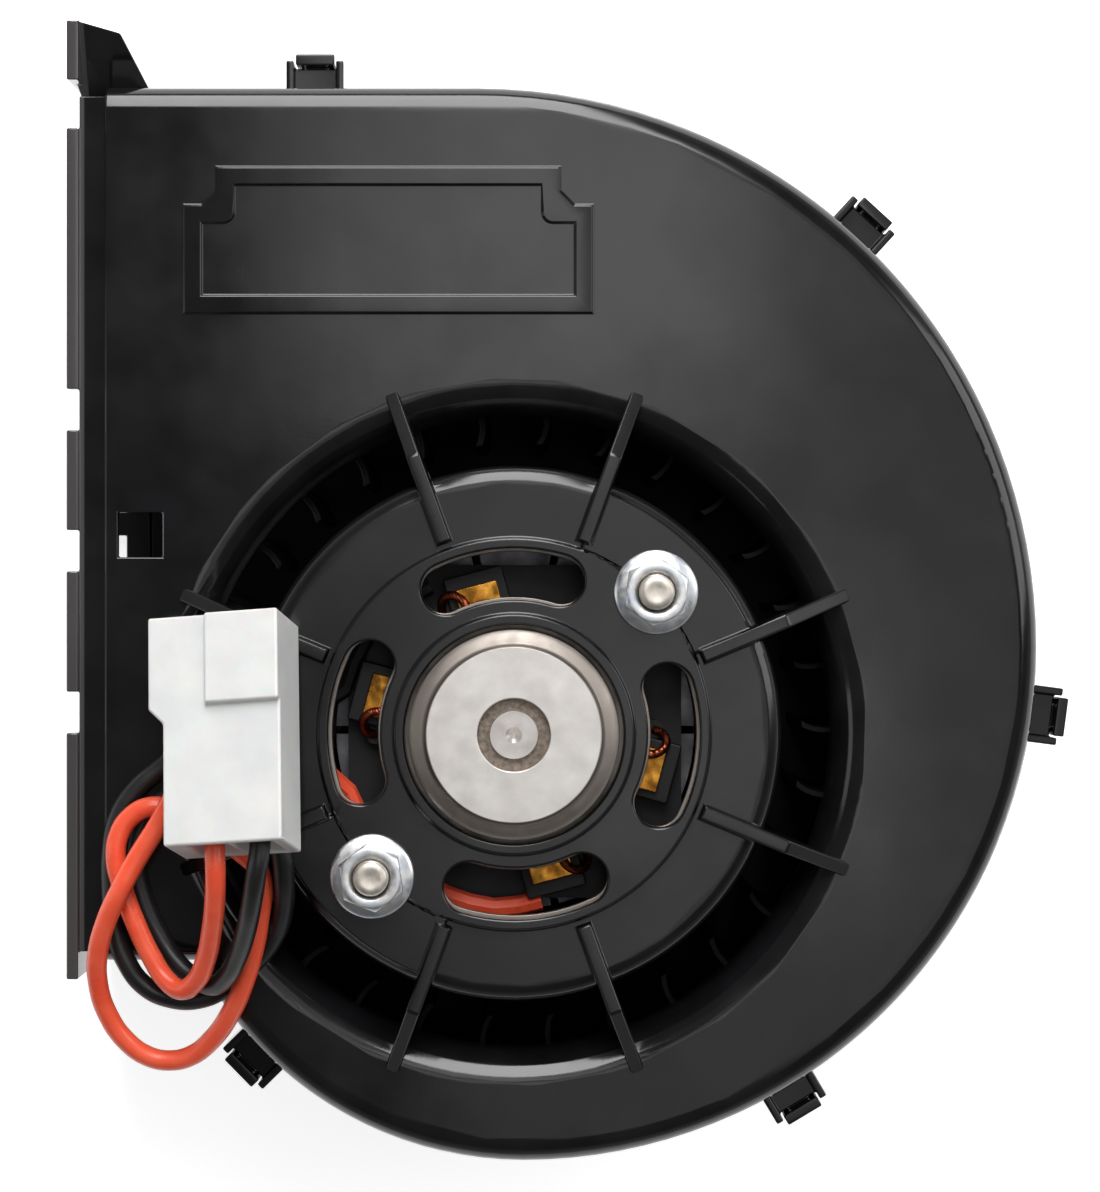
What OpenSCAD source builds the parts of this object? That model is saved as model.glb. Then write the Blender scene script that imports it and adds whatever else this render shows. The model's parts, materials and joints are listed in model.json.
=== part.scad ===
// Centrifugal ventilation blower: a snap-together scroll casing, a motor held in the
// inlet by moulded spokes, and a single-inlet bladed wheel on the motor's shaft.
// Millimetres. The shaft axis is Z, the rear face lies on Z = 0 and the inlet faces +Z.

/* [Casing] */
// Depth of the casing from its rear face to its front face
casing_depth = 68; // [66:1:76]
// Wall thickness of both casing halves
casing_wall = 2.2; // [1.8:0.1:2.8]
// Rounding of the casing's outer edges
edge_round = 4; // [2.5:0.5:5]
// Height of the parting line above the rear face
parting_height = 46; // [42:1:49]
// Distance from the axis to the top wall
scroll_top = 110; // [106:0.5:114]
// Distance from the axis to the right wall
scroll_right = 89.2; // [87:0.1:93]
// Distance from the axis to the bottom wall
scroll_bottom = 73.2; // [72:0.1:77]
// Radius of the upper right wall
upper_wall_r = 95.5; // [93:0.5:100]
// Radius of the lower left wall
tail_wall_r = 62.5; // [61:0.5:65]
// Direction, seen from the axis of the lower left wall, in which its inner tongue ends
tongue_angle = 202; // [200:1:206]
// Height of the lap lip between the two halves
lip_height = 2; // [1.4:0.2:3]

/* [Outlet] */
// Distance from the axis to the outlet's open end
outlet_reach = 76.2; // [75:0.2:82]
// Distance from the axis to the outlet's lower wall
outlet_floor = 39; // [37.5:0.5:42]
// Thickness of the outlet flange
flange_thick = 2; // [1.6:0.2:3]
// Length of the neck behind the flange
neck_length = 4.6; // [3:0.2:6]
// Depth of the neck below the casing's faces
neck_step = 1.6; // [1:0.1:2]
// Length by which the flange's lower end stands past the lower wall
flange_overhang = 3; // [2:0.5:6]
// Distance from the top wall down to the flange's upper end
flange_drop = 7.2; // [4:0.1:10]
// Width of the notches along the flange
notch_width = 7; // [5:0.5:9]
// Height of the lowest notch above the axis
notch_first = 3.4; // [0:0.2:8]
// Side of the clip window in the front face
window_side = 7.6; // [6:0.2:9]
// Distance from the outlet's open end to the clip window
window_inset = 8.8; // [8.6:0.2:12]
// Height of the clip window above the axis
window_height = 33.6; // [30:0.2:38]
// Height of the corner hook above the top wall
hook_height = 11.1; // [8:0.1:14]
// Width of the corner hook's gusset
hook_width = 14; // [10:0.5:18]

/* [Label frame] */
// Width of the raised frame
label_w = 69.5; // [60:0.5:76]
// Height of the raised frame
label_h = 24.8; // [20:0.2:28]
// Distance of the frame's upper edge below the top wall
label_drop = 13.9; // [11:0.1:16]
// Distance of the frame's left edge from the outlet's open end
label_inset = 20; // [17:0.5:24]
// Width of the frame's band
label_band = 3; // [2:0.2:4]
// Height of the band above the face
label_rise = 0.7; // [0.5:0.1:1.2]
// Height of the frame's sloping ends at their outer edge, as a share of its height
label_end_share = 0.5; // [0.4:0.05:1]

/* [Snap latches] */
// Width of a latch over its two guards
latch_w = 9.9; // [8:0.1:12]
// Height of a latch above the parting line
latch_h = 12; // [10:0.5:14]
// Reach of the guards from the wall
guard_reach = 5.5; // [4.8:0.1:6.5]
// Thickness of the sprung tongue
latch_tongue = 1.9; // [1.4:0.1:2.2]

/* [Inlet and motor holder] */
// Radius of the inlet's throat
throat_r = 54; // [52.5:0.5:55]
// Rounding of the inlet's mouth
mouth_round = 6.3; // [5:0.1:8]
// Depth of the throat below the front face
throat_depth = 10; // [9.5:0.5:11]
// Outer radius of the motor holder
holder_r = 45.2; // [44.4:0.2:45.8]
// Height of the motor holder above the front face
holder_rise = 9; // [8:0.5:11]
// Plate thickness of the motor holder
holder_plate = 2.2; // [1.8:0.1:2.8]
// Height of the holder's raised disc above its outer ring
holder_step = 2.2; // [1.6:0.1:3]
// Radius of the holder's raised disc
holder_disc_r = 33; // [32.6:0.1:34]
// Height of the holder's side wall
holder_skirt = 12.8; // [11.5:0.1:14]
// Thickness of a spoke
spoke_thick = 2.4; // [1.8:0.1:3]
// Middle radius of the cooling slots
slot_mid_r = 26.9; // [26.4:0.1:27.2]
// Width of the cooling slots
slot_width = 8.7; // [7:0.1:9]
// Angle that a cooling slot covers from end to end
slot_span = 60; // [48:1:64]

/* [Motor] */
// Outer radius of the motor can
can_r = 39.5; // [38.5:0.1:40.2]
// Wall thickness of the motor can
can_wall = 1.6; // [1.2:0.1:2]
// Length of the motor can
can_length = 46.5; // [45:0.5:47]
// Radius of the motor shaft
shaft_r = 4; // [3.5:0.1:4.4]
// Radius of the bearing cup on the end plate
front_cup_r = 17.6; // [16.4:0.1:18]
// Height of the bearing cup above the end plate
front_cup_h = 9.6; // [9:0.1:11]
// Radius of the rear bearing cup
rear_cup_r = 14; // [13:0.5:16]
// Radius of the spherical bearing bush
bush_ball_r = 8; // [7.5:0.1:8.4]
// Length of the bearing bush
bush_length = 9; // [8:0.5:9.5]
// Distance of the mounting studs from the axis
stud_reach = 33.7; // [33:0.1:34.5]
// Radius of the mounting studs
stud_r = 3; // [2.5:0.1:3]
// Radius of the armature core
core_r = 31; // [29.5:0.5:31.5]
// Length of the armature core
core_length = 20; // [16:0.5:21]
// Number of armature slots and commutator bars
bar_count = 14; // [10:1:16]
// Radius of the commutator
commutator_r = 11; // [10:0.2:11.6]
// Number of magnets
magnet_count = 6; // [4:1:6]
// Gap between the armature core and the magnets
air_gap = 0.8; // [0.6:0.1:1.2]

/* [Brush gear] */
// Side of the square brush card
card_side = 57; // [54:0.5:60]
// Width of a carbon brush
brush_w = 5.6; // [4.6:0.2:6]
// Height of a carbon brush
brush_h = 4.6; // [4:0.2:5]
// Length of a carbon brush
brush_length = 8; // [7:0.5:9]
// Distance that a brush can be pushed back
brush_travel = 2.5; // [1.5:0.5:3]

/* [Wheel] */
// Radius of the wheel over its blades
wheel_r = 57.5; // [56:0.5:58]
// Radial depth of a blade
blade_depth = 8; // [7:0.5:8.5]
// Number of blades
blade_count = 30; // [24:1:36]
// Thickness of a blade
blade_thick = 1.2; // [0.9:0.1:1.5]
// Thickness of the wheel's back plate
wheel_plate = 2; // [1.6:0.1:2.6]
// Distance from the rear face to the wheel's back plate
wheel_floor = 6.2; // [6:0.1:7]

/* [Leads and connector] */
// Diameter of a lead
lead_d = 3.5; // [2.6:0.1:3.5]
// Width of the connector's body
plug_w = 20; // [18:0.5:21]
// Length of the connector's body
plug_l = 38.5; // [36:0.5:40]
// Thickness of the connector's body
plug_t = 13; // [12:0.5:13]

/* [Hidden] */
$fn = 96;

// Clearances
face_gap = 0.1;
fit_gap = 0.03;
loose_gap = 0.3;
over = 1;

// Scroll outline: three tangent arcs and two straight walls
upper_centre = [scroll_right - upper_wall_r, scroll_top - upper_wall_r];
lower_wall_r = scroll_bottom + upper_centre[1];
lower_centre = [scroll_right - lower_wall_r, upper_centre[1]];
tail_centre = [lower_centre[0], tail_wall_r - scroll_bottom];
flange_back = outlet_reach - flange_thick;
body_left = -(flange_back - neck_length);
cavity_left = body_left + neck_step;
neck_wall = casing_wall - 0.4;
neck_inner = neck_step + neck_wall;
wall_cut = casing_wall + over;
lip_thick = casing_wall / 2 - 0.1;
flange_low = -(outlet_floor + flange_overhang);
flange_high = scroll_top - flange_drop;
notch_offsets = [0, 27.5, 51.5];
rear_notch_depth = flange_thick + 1.8;
tongue_thick = casing_wall - 0.4;
tongue_mid_r = tail_wall_r - casing_wall / 2;
tail_corner_angle = 180 + asin((outlet_floor + tail_centre[1]) / tail_wall_r);

// Snap latches: wall centre, wall radius and direction of each
top_latch_x = -34.5;
latches = [
    [[top_latch_x, upper_centre[1]], upper_wall_r, 90],
    [upper_centre, upper_wall_r, 47.5],
    [lower_centre, lower_wall_r, -7.5],
    [lower_centre, lower_wall_r, -59],
    [tail_centre, tail_wall_r, 224.5]
];
guard_w = 1.3;
latch_gap = latch_w - 2 * guard_w;
tongue_w = latch_gap - 2 * loose_gap;
tongue_in = guard_reach - 0.7;
tongue_out = tongue_in + latch_tongue;
latch_root = 10;
root_h = 4;
catch_low = 3.5;
catch_h = 4;
catch_w = 3.6;

// Motor holder levels
holder_top = casing_depth + holder_rise;
holder_ring = holder_top - holder_step;
holder_under = holder_ring - holder_plate;
holder_low = holder_ring - holder_skirt;
holder_round = 3;
collar_rise = 2;
collar_thick = 1.8;
holder_bore_r = front_cup_r + 0.8;
spoke_angles = [22.5, 70, 110, 157.5, 202.5, 250, 290, 337.5];
spoke_inner_r = holder_disc_r + 1.3;
spoke_flat_r = holder_r + 4.6;
spoke_foot_r = throat_r + mouth_round + 1.2;
land_back = 21;
land_span = 46;
land_outer_r = holder_r - 1.8;
slot_centres = [-4.4, 94.4, 175.6, 274.4];
stud_angles = [45, 225];
stud_hole_r = stud_r + 0.25;

// Motor levels
plate_thick = 1.6;
plate_low = holder_under - plate_thick;
plate_r = can_r + 0.4;
can_low = plate_low - can_length;
can_floor = can_low + can_wall;
can_inner_r = can_r - can_wall;
vent_r = 4;
vent_reach = can_r * 0.7;
vent_angles = [0 : 60 : 300];
cup_wall = 1.6;
cup_face_r = front_cup_r - 2.9;
cup_step = 0.8;
front_cup_in_r = front_cup_r - cup_wall;
rear_cup_in_r = rear_cup_r - cup_wall;
cup_hole_r = 6.1;
front_cup_top = holder_under + front_cup_h;
bush_drop = sqrt(bush_ball_r * bush_ball_r - cup_hole_r * cup_hole_r);
front_bush_z = front_cup_top - cup_wall - bush_drop;
rear_cup_h = 8;
rear_cup_low = can_low - rear_cup_h;
rear_bush_z = rear_cup_low + cup_wall + bush_drop;
retainer_thick = 0.7;
retainer_off = 3.1;
shaft_top = front_cup_top - 1;
centre_mark_r = 1.4;
centre_mark_h = 1.2;
nut_hex = 10;
nut_flange_r = 7.1;
nut_flange_h = 1.6;
nut_h = 6.2;
stud_top = holder_top + nut_h + 1.4;
stud_head_r = 3.8;
stud_head_h = 1.6;
stud_low = plate_low - stud_head_h;

// Thrust washer and collar beside each bearing
washer_r = 7;
washer_thick = 0.7;
collar_r = 6.4;
collar_h = 1.6;
front_washer_top = front_bush_z - bush_length / 2 - face_gap;
front_collar_top = front_washer_top - washer_thick - face_gap;
rear_washer_low = rear_bush_z + bush_length / 2 + face_gap;
rear_collar_low = rear_washer_low + washer_thick + face_gap;

// Brush gear levels, down from the end plate
box_wall = 0.7;
box_clear = 0.15;
box_w = brush_w + 2 * (box_wall + box_clear);
box_h = brush_h + 2 * (box_wall + box_clear);
box_top = plate_low - 2.4;
card_high = box_top - box_h;
card_thick = 2;
card_low = card_high - card_thick;
brush_z = card_high + box_h / 2;

// Commutator and armature levels, down from the brush card
bar_high = front_collar_top - collar_h - loose_gap;
bar_riser_h = 1.2;
bar_low = card_low - bar_riser_h - 0.9;
winding_h = 4;
core_high = bar_low - winding_h - 0.6;
core_low = core_high - core_length;
winding_in_r = 12;
winding_out_r = core_r - 3;
slot_r = 2.6;
slot_ring_r = core_r - 5.5;
slot_mouth = 1.4;
bar_riser = 1.8;
bar_depth = 3.4;
bar_gap_angle = 3;
magnet_low = core_low - 2;
magnet_high = core_high + 2;
magnet_span = 46;

// Brush gear, out from the commutator
card_bore_r = commutator_r + bar_riser + 1;
brush_angles = [105, 165, 285, 345];
box_in_r = commutator_r + 1.2;
brush_tip_r = commutator_r + 0.15;
brush_end_r = brush_tip_r + brush_length;
spring_wire = 0.5;
spring_free = brush_travel + 3.5;
box_out_r = brush_end_r + spring_free + box_wall;
spring_r = brush_h / 2 - 0.5;
spring_turns = 6;
shunt_d = 1;
post_r = 1.6;
post_h = 3;
post_off = 6.6;
post_place_r = box_out_r - 3;
shunt_slot_w = 1.8;
shunt_slot_in_r = brush_tip_r + 3;

// Wheel levels
eye_r = wheel_r - blade_depth;
blade_curve = 8;
blade_low = wheel_floor + wheel_plate;
ring_high = casing_depth - throat_depth - 2;
ring_h = 3;
ring_thick = 2.2;
hub_r = 9.5;
hub_insert_r = 6.6;
hub_high = rear_cup_low - 1.2;
ring_clip_r = 7.6;
ring_clip_h = 0.9;
shaft_low = wheel_floor - face_gap - ring_clip_h - 0.6;

// Lead exit through the holder's side wall
grommet_z = casing_depth + 1;
grommet_w = 9.6;
grommet_h = 5;
grommet_lip = 1;
brim_w = grommet_w + 1.6;
brim_h = grommet_h + 1.6;
lead_pitch = 4;
inner_lead_gap = 5.85;
inner_lead_r = can_inner_r - lead_d / 2 - inner_lead_gap;
inner_lead_z = card_high + lead_d / 2 + 0.4;
lead_ease = 1.2;
can_notch_w = grommet_w + 2;
red_lead_turn = [279, 200];
black_lead_turn = [120, 166];
lead_exit = 46.8;

// Connector: place, tilt and inner sizes
plug_place = [-46.7, 0.2, 86.2];
plug_tilt = [-13.5, 0, 1.5];
plug_roll = [0, -11, 0];
hood_depth = 20;
hood_wall = 1.5;
hood_flange = 2.5;
hood_flange_l = 15.5;
latch_pad_rise = 1.5;
latch_pad_l = 15.2;
tab_w = 6.3;
tab_thick = 0.8;
tab_l = 12;
tab_pitch = 7.6;
tab_shift = 0.8;
wire_port_r = lead_d / 2 + 0.2;
port_depth = 5;
pocket_w = tab_pitch - 1;
pocket_depth = 2.2;
tab_low = port_depth - plug_l / 2;

// Free run of the two leads, from the holder's side wall to the connector
red_route = [
    [-46.8, -2, 69], [-48.6, -2, 69.2], [-50.4, -2.7, 70.9], [-52.4, -4.1, 73.5], [-54.8, -6.8, 76.5],
    [-57.3, -10.9, 77.9],
    [-60, -15.7, 77.7], [-63.3, -21, 77.6], [-66.1, -26.2, 77.7], [-68.5, -31.3, 76.1], [-70.2, -36.8, 73.7],
    [-70.5, -42.3, 71], [-69.1, -47.8, 68.7], [-66.1, -52.5, 67.2], [-62.4, -55.2, 66.6], [-58.7, -55.9, 66.7],
    [-55, -55, 67.3], [-51.3, -52, 69.1], [-48.1, -47.5, 71.6], [-45.7, -42.3, 73.9], [-43.9, -36.5, 75.1],
    [-42.8, -30.5, 75.8], [-42.2, -25.4, 77], [-43.2, -22.1, 78.4], [-45.5, -19.8, 79.2], [-49.2, -17.2, 78.1],
    [-53.4, -14.4, 75.5], [-57.7, -12.8, 74.1], [-61.6, -12.4, 74], [-64.5, -13.9, 73.8], [-66.5, -16.7, 73.8],
    [-67.2, -20.8, 73.9], [-66, -26.3, 73.5], [-63.8, -32.1, 73.8], [-61.2, -37.6, 73.8], [-58.5, -41.6, 74.5],
    [-55.9, -43, 75.9], [-53.4, -41.4, 77.9], [-51.4, -37.3, 80.8], [-50.2, -32.5, 84.4], [-49.4, -27.4, 87.9],
    [-49.1, -22.7, 90.1], [-49.2, -18.7, 90.1], [-49.3, -14.8, 89.2]
];
black_route = [
    [-46.8, 2, 69], [-48.6, 2, 69.2], [-51, 1.5, 70], [-54.9, -1.1, 70.1], [-59.3, -5.5, 70], [-64, -9.5, 70],
    [-67.2, -14.5, 69.9], [-68.3, -20.5, 69.9], [-68.3, -26.7, 69.9], [-67.8, -32.9, 69.9], [-65.8, -38.8, 70],
    [-62.7, -42.9, 69.9], [-58.6, -44.9, 69.8], [-53.6, -45.1, 69.8], [-49, -43.1, 69.9], [-44.5, -39.2, 70.5],
    [-40.7, -34.6, 72.2], [-38.8, -29.4, 75.6], [-38.5, -23.8, 79], [-39.2, -18.7, 80.3], [-41.2, -14.8, 80.2],
    [-44.4, -12, 78.7], [-48.8, -10.2, 75.4], [-53.7, -10, 72], [-58.4, -10.9, 70.3], [-61.6, -12.9, 69.9],
    [-63.6, -16.8, 70], [-64.2, -22.6, 70], [-62.9, -28.6, 69.9], [-60.3, -34.2, 70], [-56.9, -39.1, 70.9],
    [-53.5, -41.7, 72.4], [-50.7, -42.4, 74.3], [-48.2, -40.5, 77.3], [-46, -36.6, 81.3], [-44.4, -32.2, 85.4],
    [-43.2, -27.4, 89.2], [-42.3, -22.4, 91.5], [-41.7, -18.2, 91.5], [-41.6, -14.3, 90.6]
];
lead_sides = 8;

// Tube swept along a list of points, its rings carried along without twist
function unit(v) = v / norm(v);
function heading(p, i) = unit(p[min(i + 1, len(p) - 1)] - p[max(i - 1, 0)]);
function squared(n, t) = unit(n - t * (n * t));
function frames(p, i, n) =
    i == len(p) ? [] : let (t = heading(p, i), m = squared(n, t)) concat([[t, m]], frames(p, i + 1, m));

module swept_tube(points, d, sides, start_normal = [0, 0, 1]) {
    carried = frames(points, 0, start_normal);
    last = len(points) - 1;
    rings = [
        for (i = [0 : last]) for (k = [0 : sides - 1])
            let (a = 360 * k / sides, t = carried[i][0], m = carried[i][1])
            points[i] + d / 2 * (cos(a) * m + sin(a) * cross(t, m))
    ];
    walls = [
        for (i = [0 : last - 1]) for (k = [0 : sides - 1])
            let (a = i * sides + k, b = i * sides + (k + 1) % sides)
            each [[a, a + sides, b], [b, a + sides, b + sides]]
    ];
    first_cap = [[for (k = [0 : sides - 1]) k]];
    last_cap = [[for (k = [sides - 1 : -1 : 0]) last * sides + k]];
    polyhedron(points = rings, faces = concat(walls, first_cap, last_cap));
}

module at_polar(angle, radius) {
    rotate(angle) translate([radius, 0, 0]) children();
}

module tube(outer_r, inner_r, low, high) {
    translate([0, 0, low]) difference() {
        cylinder(r = outer_r, h = high - low);
        translate([0, 0, -over]) cylinder(r = inner_r, h = high - low + 2 * over);
    }
}

module ring_sector(inner_r, outer_r, low, high, start, span) {
    rotate(start) rotate_extrude(angle = span)
        translate([inner_r, low]) square([outer_r - inner_r, high - low]);
}

// Scroll casing shapes
module corner_cut(r) {
    difference() {
        square(r + over);
        circle(r = r);
    }
}

module wall_profile(reach, low, high, round_low, round_high) {
    difference() {
        translate([0, low]) square([reach, high - low]);
        if (round_high > 0)
            translate([reach - round_high, high - round_high]) corner_cut(round_high);
        if (round_low > 0)
            translate([reach - round_low, low + round_low]) mirror([0, 1]) corner_cut(round_low);
    }
}

module rounded_sector(centre, radius, turn, low, high, round_low, round_high) {
    translate(centre) rotate(turn) rotate_extrude(angle = 90)
        wall_profile(radius, low, high, round_low, round_high);
}

module tail_side(left) {
    translate([left, -scroll_bottom - over])
        square([tail_centre[0] - left + over, scroll_bottom + tail_centre[1] + 2 * over]);
}

module rounded_scroll(low, high, round_low, round_high) {
    rounded_sector(upper_centre, upper_wall_r, 0, low, high, round_low, round_high);
    rounded_sector(lower_centre, lower_wall_r, -90, low, high, round_low, round_high);
    intersection() {
        rounded_sector(tail_centre, tail_wall_r, 180, low, high, round_low, round_high);
        translate([0, 0, low - over]) linear_extrude(high - low + 2 * over) tail_side(body_left);
    }
    translate([body_left, tail_centre[1], 0]) rotate([90, 0, 90])
        linear_extrude(upper_centre[0] - body_left)
            wall_profile(scroll_top - tail_centre[1], low, high, round_low, round_high);
    translate([body_left, upper_centre[1], 0]) mirror([0, 1, 0]) rotate([90, 0, 90])
        linear_extrude(lower_centre[0] - body_left)
            wall_profile(upper_centre[1] + outlet_floor, low, high, round_low, round_high);
}

module quarter_disc(centre, radius, turn) {
    translate(centre) rotate(turn) intersection() {
        circle(r = radius);
        square(radius + over);
    }
}

module scroll_outline(inset, left) {
    quarter_disc(upper_centre, upper_wall_r - inset, 0);
    quarter_disc(lower_centre, lower_wall_r - inset, -90);
    intersection() {
        quarter_disc(tail_centre, tail_wall_r - inset, 180);
        tail_side(left);
    }
    translate([left, tail_centre[1]])
        square([upper_centre[0] - left, scroll_top - inset - tail_centre[1]]);
    translate([left, inset - outlet_floor])
        square([lower_centre[0] - left, upper_centre[1] + outlet_floor - inset]);
}

module scroll_slab(inset, left, low, high) {
    translate([0, 0, low]) linear_extrude(high - low) scroll_outline(inset, left);
}

// Neck and flange around the outlet, over the height between low and high
module outlet_box(inset, from_x, to_x, low, high) {
    translate([from_x, inset - outlet_floor, low])
        cube([to_x - from_x, scroll_top + outlet_floor - 2 * inset, high - low]);
}

module outlet_end(low, high, inner_low, inner_high, neck_low, neck_high) {
    difference() {
        union() {
            outlet_box(neck_step, -flange_back, body_left + over, neck_low, neck_high);
            translate([-outlet_reach, flange_low, low])
                cube([flange_thick, flange_high - flange_low, high - low]);
        }
        outlet_box(neck_inner, -outlet_reach - over, cavity_left + over, inner_low, inner_high);
    }
}

module notch_cuts(depth, low, high) {
    for (offset = notch_offsets)
        translate([-outlet_reach - over, notch_first + offset - notch_width / 2, low])
            cube([depth + over, notch_width, high - low]);
}

// Curved tongue that carries the lower left wall on into the outlet
module tongue(low, high) {
    translate(tail_centre) {
        ring_sector(tongue_mid_r - tongue_thick / 2, tongue_mid_r + tongue_thick / 2, low, high,
            tongue_angle, tail_corner_angle + 2 - tongue_angle);
        at_polar(tongue_angle, tongue_mid_r)
            translate([0, 0, low]) cylinder(r = tongue_thick / 2, h = high - low);
    }
}

module at_latches() {
    for (latch = latches)
        translate(latch[0]) at_polar(latch[2], latch[1]) children();
}

module latch_keeper() {
    sink = lip_thick - 0.2;
    for (side = [-1, 1])
        translate([-sink, side * (latch_gap + guard_w) / 2 - guard_w / 2, parting_height])
            cube([guard_reach + sink, guard_w, latch_h]);
    translate([-sink, -latch_gap / 2 - over / 2, parting_height + catch_low - 1])
        cube([tongue_in - loose_gap + sink, latch_gap + over, catch_h + 2]);
    translate([-sink, -catch_w / 2, parting_height + catch_low])
        cube([tongue_in + latch_tongue * 0.7 + sink, catch_w, catch_h]);
}

module latch_tongue_arm() {
    sink = 1.2;
    arm_low = parting_height - latch_root;
    difference() {
        union() {
            translate([tongue_in, -tongue_w / 2, arm_low])
                cube([latch_tongue, tongue_w, latch_root + latch_h - 0.6]);
            translate([-sink, -tongue_w / 2, arm_low]) cube([tongue_out + sink, tongue_w, root_h]);
        }
        translate([tongue_in - over, -catch_w / 2 - loose_gap, parting_height + catch_low - loose_gap])
            cube([latch_tongue + 2 * over, catch_w + 2 * loose_gap, catch_h + 2 * loose_gap]);
    }
}

// Block with one rounded corner, reaching left and up from its lower right tip
module corner_block(width, height, r) {
    translate([-width, r - height]) square([width, height - r]);
    translate([-width, -height]) square([width - r, height]);
    translate([-r, r - height]) circle(r = r);
}

// Raised frame around a blank panel, its upper corners stepped and its two ends sloping
module label_frame() {
    corner_w = label_w * 0.08;
    corner_h = label_h * 0.26;
    corner_r = label_band * 0.6;
    chamfer = label_band * 0.8;
    middle = label_w / 2;
    sunk = 0.4;
    top = sunk + label_rise;
    end_top = sunk + label_rise * label_end_share;
    flat = middle - label_band - corner_w;
    translate([label_inset - outlet_reach + middle, scroll_top - label_drop, casing_depth - sunk])
        intersection() {
            linear_extrude(top + over) difference() {
                translate([-middle, -label_h]) square([label_w, label_h]);
                for (side = [0, 1])
                    mirror([side, 0]) translate([-middle, 0]) polygon([
                        [-over, over], [corner_w, over], [corner_w, chamfer - corner_h],
                        [corner_w - chamfer, -corner_h], [-over, -corner_h]
                    ]);
                difference() {
                    translate([label_band - middle, label_band - label_h])
                        square([label_w - 2 * label_band, label_h - 2 * label_band]);
                    for (side = [0, 1])
                        mirror([side, 0]) translate([label_band + corner_w - middle, -label_band])
                            corner_block(corner_w + over, corner_h, corner_r);
                }
            }
            translate([0, over, 0]) rotate([90, 0, 0]) linear_extrude(label_h + 2 * over)
                polygon([
                    [-middle - over, -over], [middle + over, -over], [middle + over, end_top],
                    [middle, end_top], [flat, top], [-flat, top], [-middle, end_top], [-middle - over, end_top]
                ]);
        }
}

// Hook at the outlet's upper corner: an upright tab and a slanted gusset
module corner_hook() {
    tab_low = scroll_top + 1;
    tab_high = scroll_top + hook_height;
    hook_deep = 22;
    gusset = 2;
    right = hook_width - outlet_reach;
    translate([-outlet_reach, tab_low, casing_depth - hook_deep])
        cube([flange_thick, tab_high - tab_low, hook_deep]);
    intersection() {
        translate([0, 0, casing_depth - 2 * hook_deep]) linear_extrude(2 * hook_deep)
            polygon([
                [-outlet_reach, tab_high], [-flange_back - 0.5, tab_high], [right - 5, tab_high - 2],
                [right, scroll_top - 1], [-outlet_reach + flange_thick, scroll_top - neck_step - 1],
                [-outlet_reach + 1, tab_low]
            ]);
        translate([-outlet_reach - over, 0, 0]) rotate([90, 0, 90]) linear_extrude(hook_width + 2 * over)
            polygon([
                [tab_high, casing_depth], [tab_high, casing_depth - gusset],
                [scroll_top - 3, casing_depth - hook_deep * 0.75],
                [scroll_top - 3, casing_depth - hook_deep * 0.75 + 3 * gusset]
            ]);
    }
}

// Rounded inlet mouth and throat
module inlet_mouth() {
    mouth_r = throat_r + mouth_round;
    mouth_z = casing_depth - mouth_round;
    rotate_extrude() {
        intersection() {
            translate([mouth_r, mouth_z]) difference() {
                circle(r = mouth_round);
                circle(r = mouth_round - casing_wall);
            }
            translate([throat_r, mouth_z]) square([mouth_round, mouth_round]);
        }
        translate([throat_r, casing_depth - throat_depth])
            square([casing_wall, throat_depth - mouth_round]);
    }
}

// Space that the mouth's wall takes up, out to the casing
module mouth_side() {
    mouth_z = casing_depth - mouth_round;
    rotate_extrude() difference() {
        translate([throat_r, casing_depth - throat_depth]) square([3 * mouth_round, throat_depth]);
        translate([throat_r, mouth_z]) difference() {
            square([mouth_round, mouth_round + over]);
            translate([mouth_round, 0]) circle(r = mouth_round);
        }
    }
}

// Holder for the motor: disc, stepped ring, side wall and collar
module holder_shape() {
    rotate_extrude() {
        difference() {
            translate([holder_bore_r, holder_low]) square([holder_r - holder_bore_r, holder_skirt]);
            translate([0, holder_low - over])
                square([holder_r - holder_plate, holder_skirt - holder_plate + over]);
            translate([holder_r - holder_round, holder_ring - holder_round]) corner_cut(holder_round);
        }
        translate([holder_bore_r, holder_under])
            square([holder_disc_r - holder_bore_r, holder_top - holder_under]);
        translate([holder_bore_r, holder_under])
            square([collar_thick, holder_top - holder_under + collar_rise]);
    }
    for (angle = stud_angles)
        ring_sector(holder_disc_r - over, land_outer_r, holder_under, holder_top,
            angle - land_back, land_span);
}

module spoke() {
    foot_z = casing_depth - throat_depth + 2;
    rotate([90, 0, 0]) translate([0, 0, -spoke_thick / 2]) linear_extrude(spoke_thick)
        polygon([
            [spoke_inner_r, holder_under + 0.5], [spoke_inner_r, holder_top], [spoke_flat_r, holder_top],
            [spoke_foot_r, casing_depth], [spoke_foot_r, casing_depth - 1],
            [throat_r + mouth_round - over, casing_depth - 1], [throat_r + 0.8, casing_depth - mouth_round],
            [throat_r + 0.8, foot_z], [holder_r - 1, holder_low], [holder_r - 1, holder_under + 0.5]
        ]);
}

module kidney(mid_r, width, span, low, high) {
    end_angle = asin(width / 2 / mid_r);
    bare_span = span - 2 * end_angle;
    rotate(-bare_span / 2) {
        ring_sector(mid_r - width / 2, mid_r + width / 2, low, high, 0, bare_span);
        for (a = [0, bare_span])
            at_polar(a, mid_r) translate([0, 0, low]) cylinder(r = width / 2, h = high - low);
    }
}

module cooling_slots(width, low, high) {
    for (angle = slot_centres)
        rotate(angle) kidney(slot_mid_r, width, slot_span, low, high);
}

module grommet_slot() {
    translate([-holder_r - over, -grommet_w / 2, grommet_z - grommet_h / 2])
        cube([holder_plate + 2 * over, grommet_w, grommet_h]);
}

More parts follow.
